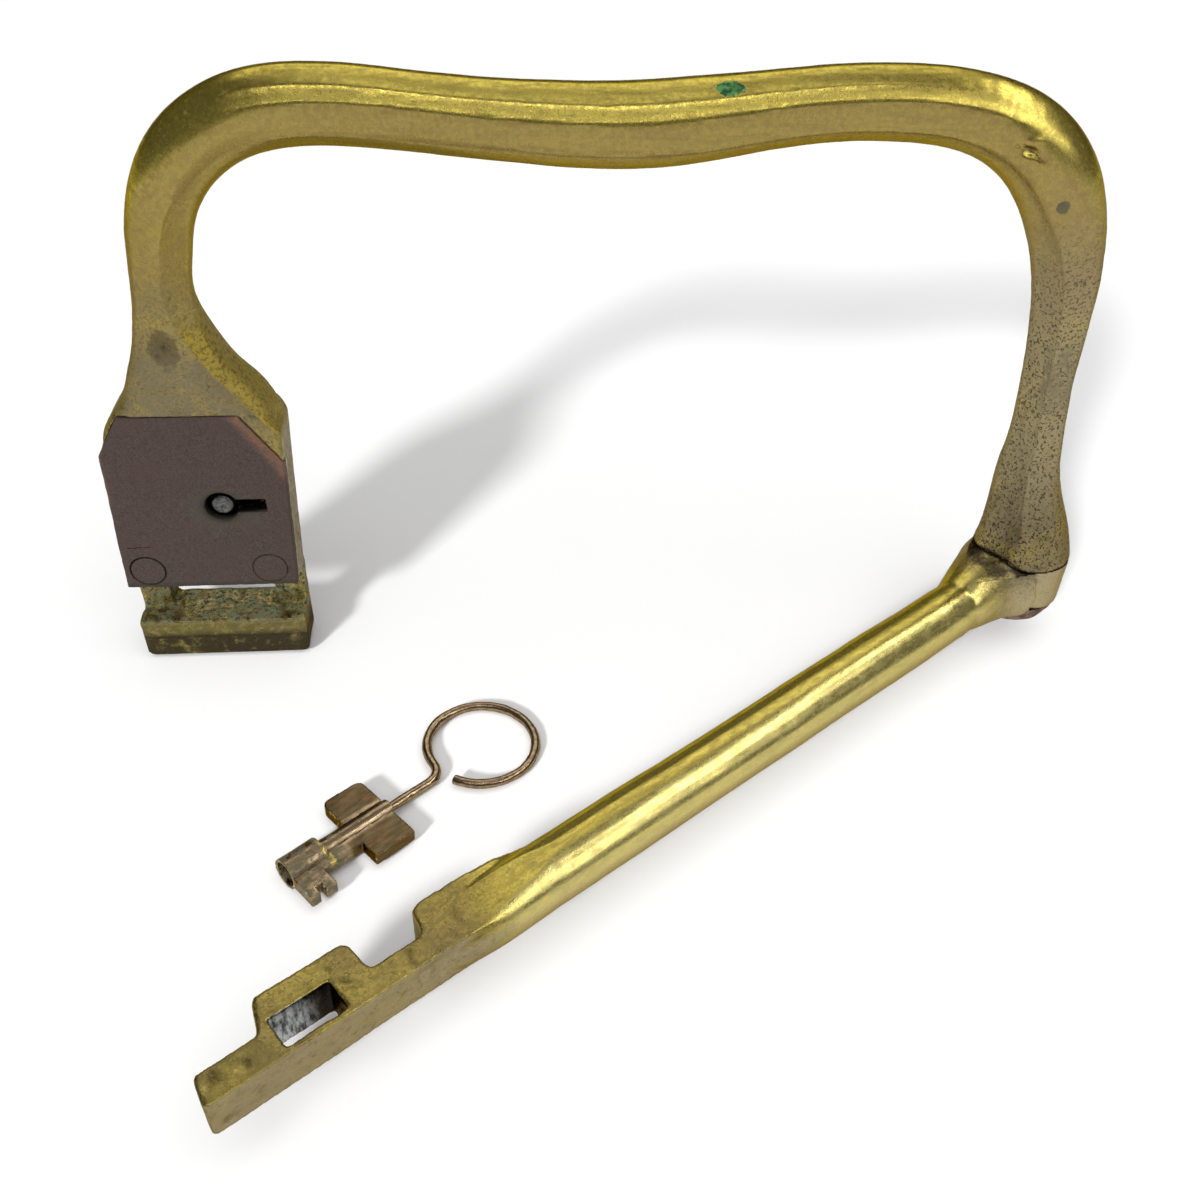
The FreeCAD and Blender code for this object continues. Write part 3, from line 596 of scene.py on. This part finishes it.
def bow_relief(points, normals):
    x, _, z = points.T
    move = hand_finish(points, smoothstep(52, 62, z))
    case = (z < 36) & (x < 20)
    move[case] *= 0.5
    grip = smoothstep(58, 63, z) * smoothstep(8, 16, x) * (1 - smoothstep(82, 90, x))
    wave = 0.6 + 0.4 * value_noise(points * np.array([1, 0, 0]), 12.0, 5)
    bands = [(tilted(64), 20), (tilted(33), 13), (tilted(-4), 24), (tilted(-48), 18)]
    move += grip * wave * flats(normals, 3.6, bands)
    leg = (1 - smoothstep(50, 60, z)) * smoothstep(86, 92, x) * smoothstep(12.5, 20, z)
    bands = [((-0.80, -0.60, 0), 30), ((0.12, -0.99, 0), 25), ((0.9, -0.4, 0), 20)]
    move += leg * flats(normals, 3.6, bands)
    stem = (1 - smoothstep(56, 62, z)) * smoothstep(40, 46, z) * (x < 12)
    move += stem * flats(normals, 3.2, [((-0.30, -0.95, 0), 27), ((0.62, -0.78, 0), 26)])
    # dent with a raised rim at the outer bend, and shallow knocks
    dent = ball(points, (86.5, -4.0, 63.7), (1.5, 1.6, 0.8))
    move -= 0.45 * dent
    move += 0.12 * ball(points, (86.6, -4.0, 64.7), (1.4, 1.6, 0.6))
    move -= 0.30 * groove(points, (85.2, -4.0, 64.4), (87.9, -4.0, 63.0), 0.45)
    move -= 0.25 * ball(points, GREY_SPOT, (0.8, 1.2, 0.8))
    move -= 0.20 * ball(points, (0.6, -2.8, 43.6), (0.9, 1.2, 0.7))
    move -= 0.16 * ball(points, (-0.2, -2.8, 42.6), (0.7, 1.2, 0.6))
    for i in range(7):
        start = (2.6 + 0.35 * i, -3.4, 60.6 - 0.9 * i)
        end = (3.4 + 0.35 * i, -3.4, 61.7 - 0.9 * i)
        move -= 0.10 * groove(points, start, end, 0.3)
    # pitted casting round the foot
    rough = (1 - smoothstep(20, 34, z)) * (x > 80)
    pits = np.clip(value_noise(points, 0.8, 6) - 0.45, 0, 1)
    move -= rough * pits * 0.25
    # crusts in the tongue channel
    channel = (z < 12) & (z > 5) & (x < 20)
    move += channel * np.clip(value_noise(points, 1.2, 7), 0, 1) * 0.16
    return move


def bar_places(points):
    """Distance along the bar and across it for each vertex."""
    return ((points[:, :2] - (PIVOT_X, 0)) @ np.array(BAR_AXES).T).T


def filed(points):
    """Top of the rod cut down on a slope to the flat of the tongue, and the near side of the
    collar drawn in to the round of the eye."""
    along, across = bar_places(points)
    slope = 0.085
    limit = TONGUE_TOP_Z + np.clip(84.5 - along, 0, None) * slope
    points = points.copy()
    filed_z = np.minimum(points[:, 2], limit)
    points[:, 2] = np.where(along > NECK_START, filed_z, points[:, 2])
    steps = np.arange(-1.0, 18.0)
    middle = np.abs(points[:, 2] - 9) < 4
    widest = np.array([-across[(np.abs(along - u) < 0.6) & middle].min() for u in steps])
    eye = np.sqrt(np.clip(EYE_RADIUS ** 2 - np.clip(steps, 0, None) ** 2, 0, None))
    rod = ROD_RADIUS + 0.25 * (1 - smoothstep(5, 16, steps))
    wanted = (eye ** 6 + rod ** 6) ** (1 / 6)
    ratio = np.pad(np.clip(wanted / widest, 0.5, 1.0), 2, mode="edge")
    ratio = np.convolve(ratio, np.ones(5) / 5, "valid")
    drawn_in = (across < 0) & (along > -1) & (along < 17) & (points[:, 2] < FOOT_Z)
    moved = np.where(drawn_in, across * (np.interp(along, steps, ratio) - 1), 0)
    points[:, :2] += moved[:, None] * np.array(BAR_AXES[1])
    return points


def bar_relief(points, normals):
    along, _ = bar_places(points)
    tongue = smoothstep(82, 88, along)
    move = hand_finish(points, smoothstep(10, 20, along) * (1 - tongue))
    move *= 1 - 0.45 * tongue
    sx, sy = BAR_AXES[1]
    bands = [((0.35 * sx, 0.35 * sy, 0.94), 7), ((-0.5 * sx, -0.5 * sy, 0.87), 7),
             ((-0.95 * sx, -0.95 * sy, 0.3), 9)]
    rod = smoothstep(18, 34, along) * (1 - smoothstep(74, 82, along))
    move += rod * flats(normals, 3.35, bands)
    pits = np.clip(value_noise(points, 0.8, 8) - 0.5, 0, 1)
    move -= (1 - smoothstep(6, 14, along)) * pits * 0.22
    move -= tongue * np.clip(value_noise(points, 1.4, 9) - 0.35, 0, 1) * 0.25
    return move


def plate_relief(points, _):
    return value_noise(points, 4.0, 11) * 0.04 + value_noise(points, 0.5, 12) * 0.018


def key_relief(points, _):
    return value_noise(points, 2.0, 13) * 0.05 + value_noise(points, 0.7, 14) * 0.01


def small_relief(points, _):
    return value_noise(points, 1.6, 15) * 0.05 + value_noise(points, 0.5, 16) * 0.02


def bar_point(along, across, z):
    """Point of the row frame, in metres, at a place on the bar."""
    (ax, ay), (bx, by) = BAR_AXES
    return ((PIVOT_X + along * ax + across * bx) * MM, (along * ay + across * by) * MM, z * MM)


def neck_shoulder():
    """Flat wedge that runs back from the tongue into the round rod."""
    outline = [(90.2, -2.35, 11.3), (90.2, 0.3, 11.3), (89.75, 1.2, 11.3), (89.35, 3.1, 11.3),
               (88.4, 3.55, 11.3), (85.0, 3.62, 11.3), (80.5, 3.45, 11.15), (76.5, 3.0, 10.5),
               (74.0, 2.0, 11.3), (74.0, -2.0, 11.3), (79.0, -2.7, 10.8), (85.0, -2.5, 11.3)]
    mirror_z = 2 * 8.85
    lower = [bar_point(u, v, mirror_z - top) for u, v, top in outline]
    upper = [bar_point(u, v, top) for u, v, top in outline]
    count = len(outline)
    faces = [tuple(range(count)), tuple(range(2 * count - 1, count - 1, -1))]
    faces += [(i, (i + 1) % count, count + (i + 1) % count, count + i) for i in range(count)]
    mesh = bpy.data.meshes.new("shoulder")
    mesh.from_pydata(lower + upper, [], faces)
    shape = bmesh.new()
    shape.from_mesh(mesh)
    bmesh.ops.recalc_face_normals(shape, faces=shape.faces)
    bmesh.ops.triangulate(shape, faces=shape.faces)
    shape.to_mesh(mesh)
    shape.free()
    return mesh


# ---- build --------------------------------------------------------------------------------------
brass = handle_brass()
bar = bar_brass()
steel = cover_steel()
pin = plain_metal("pin_steel", (0.15, 0.15, 0.14), (0.06, 0.06, 0.055), (0.02, 0.02, 0.018),
                  (0.25, 0.45), 0.35)
works = plain_metal("works_brass", (0.40, 0.32, 0.14), (0.22, 0.17, 0.08), (0.05, 0.04, 0.025))
spring = plain_metal("spring_steel", (0.30, 0.31, 0.34), (0.15, 0.15, 0.17), (0.05, 0.03, 0.02))
bronze = plain_metal("pivot_bronze", (0.27, 0.19, 0.15), (0.11, 0.075, 0.065), (0.015, 0.012, 0.01))
key = key_brass()
wire = plain_metal("key_wire", (0.33, 0.24, 0.145), (0.20, 0.14, 0.08), (0.07, 0.05, 0.03),
                   (0.14, 0.26), 0.6)

worn("bow_casting", 0.26, brass, bow_relief)
worn("swing_bar", 0.22, bar, bar_relief, smooth=6, extra=neck_shoulder(), reshape=filed)
worn("cover_plate", 0.14, steel, plate_relief)
worn("pivot_pin", 0.16, bronze, small_relief)
worn("pivot_washer", 0.10, bronze, small_relief, smooth=1)
for name in ("key_shank", "key_blade", "key_upper_wing"):
    worn(name, 0.085, key, key_relief)
worn("key_ring", 0.10, wire, small_relief)
for name in ("cover_rivet_left", "cover_rivet_right"):
    worn(name, 0.10, steel, plate_relief)
worn("drill_pin", 0.08, pin, small_relief)
for name, material in (("lock_bolt", works), ("detent_spring", spring), ("spring_rivet", spring),
                       ("case_ward", works)):
    node = frame["nodes"][name]
    node.data.materials.clear()
    node.data.materials.append(material)

# ---- floor, light and camera --------------------------------------------------------------------
floor_mesh = bpy.data.meshes.new("floor")
floor_mesh.from_pydata([(-3, -3, 0), (3, -3, 0), (3, 3, 0), (-3, 3, 0)], [], [(0, 1, 2, 3)])
floor_mesh.materials.append(floor_material())
floor = bpy.data.objects.new("floor", floor_mesh)
floor.location.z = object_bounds()[0].z - 0.00005
bpy.context.scene.collection.objects.link(floor)

centre = Vector((0.048, -0.02, 0.03))


def direction(azimuth, elevation):
    """Unit vector from the object towards a lamp. Azimuth 0 is the keyhole side."""
    a, e = math.radians(azimuth), math.radians(elevation)
    return Vector((math.sin(a) * math.cos(e), -math.cos(a) * math.cos(e), math.sin(e)))


def add_lamp(name, kind, azimuth, elevation, distance, energy, mirrored=True, **settings):
    """Lamp aimed at the object's middle. One that is not mirrored gives no highlight on metal."""
    lamp = bpy.data.lights.new(name, kind)
    lamp.energy = energy
    for key_name, value in settings.items():
        setattr(lamp, key_name, value)
    holder = bpy.data.objects.new(name, lamp)
    away = direction(azimuth, elevation)
    holder.location = centre + away * distance
    holder.rotation_euler = (-away).to_track_quat("-Z", "Y").to_euler()
    holder.visible_glossy = mirrored
    bpy.context.scene.collection.objects.link(holder)


def soft_box(name, azimuth, elevation, distance, size, radiance):
    """Rectangular lamp whose face has that radiance, seen by metal and not by the floor."""
    power = radiance * math.pi * size[0] * size[1]
    add_lamp(name, "AREA", azimuth, elevation, distance, power, shape="RECTANGLE", size=size[0],
             size_y=size[1])
    bpy.data.objects[name].visible_diffuse = False


add_lamp("shadow_key", "SUN", -32, 31, 1.0, 3.1, mirrored=False, angle=math.radians(8))
add_lamp("fill", "SUN", 20, 70, 1.0, 1.8, mirrored=False, angle=math.radians(70))
soft_box("streak", -6, 62, 0.6, (0.40, 0.045), 7.5)
soft_box("fine_streak", 12, 42, 0.6, (0.72, 0.04), 4.5)
soft_box("rod_window", 95, 47, 0.6, (0.52, 0.08), 7.0)
soft_box("right_window", 54, 30, 0.6, (0.30, 0.24), 2.6)
soft_box("back_window", 178, 48, 0.6, (0.60, 0.34), 1.45)
soft_box("overhead", 140, 82, 0.6, (0.44, 0.14), 1.1)

world = bpy.data.worlds.new("studio")
bpy.context.scene.world = world
world.use_nodes = True
background = world.node_tree.nodes["Background"]
background.inputs["Color"].default_value = (1, 1, 1, 1)
background.inputs["Strength"].default_value = 0.15

bpy.context.scene.view_settings.view_transform = "Standard"

camera_data = bpy.data.cameras.new("camera")
camera_data.lens = 36.0
camera_data.sensor_width = 36.0
camera_data.clip_start = 0.005
camera = bpy.data.objects.new("camera", camera_data)
bpy.context.scene.collection.objects.link(camera)
pitch, yaw, roll = (math.radians(angle) for angle in (40.141, -5.242, 1.777))
forward = Vector((-math.sin(yaw) * math.cos(pitch), math.cos(yaw) * math.cos(pitch), -math.sin(pitch)))
level = Vector((math.cos(yaw), math.sin(yaw), 0))
above = level.cross(forward)
right = level * math.cos(roll) + above * math.sin(roll)
upward = above * math.cos(roll) - level * math.sin(roll)
place = Vector((0.036056, -0.116239, 0.104115))
turned = Matrix((right, upward, -forward)).transposed().to_4x4()
camera.matrix_world = Matrix.Translation(place) @ turned
bpy.context.scene.camera = camera
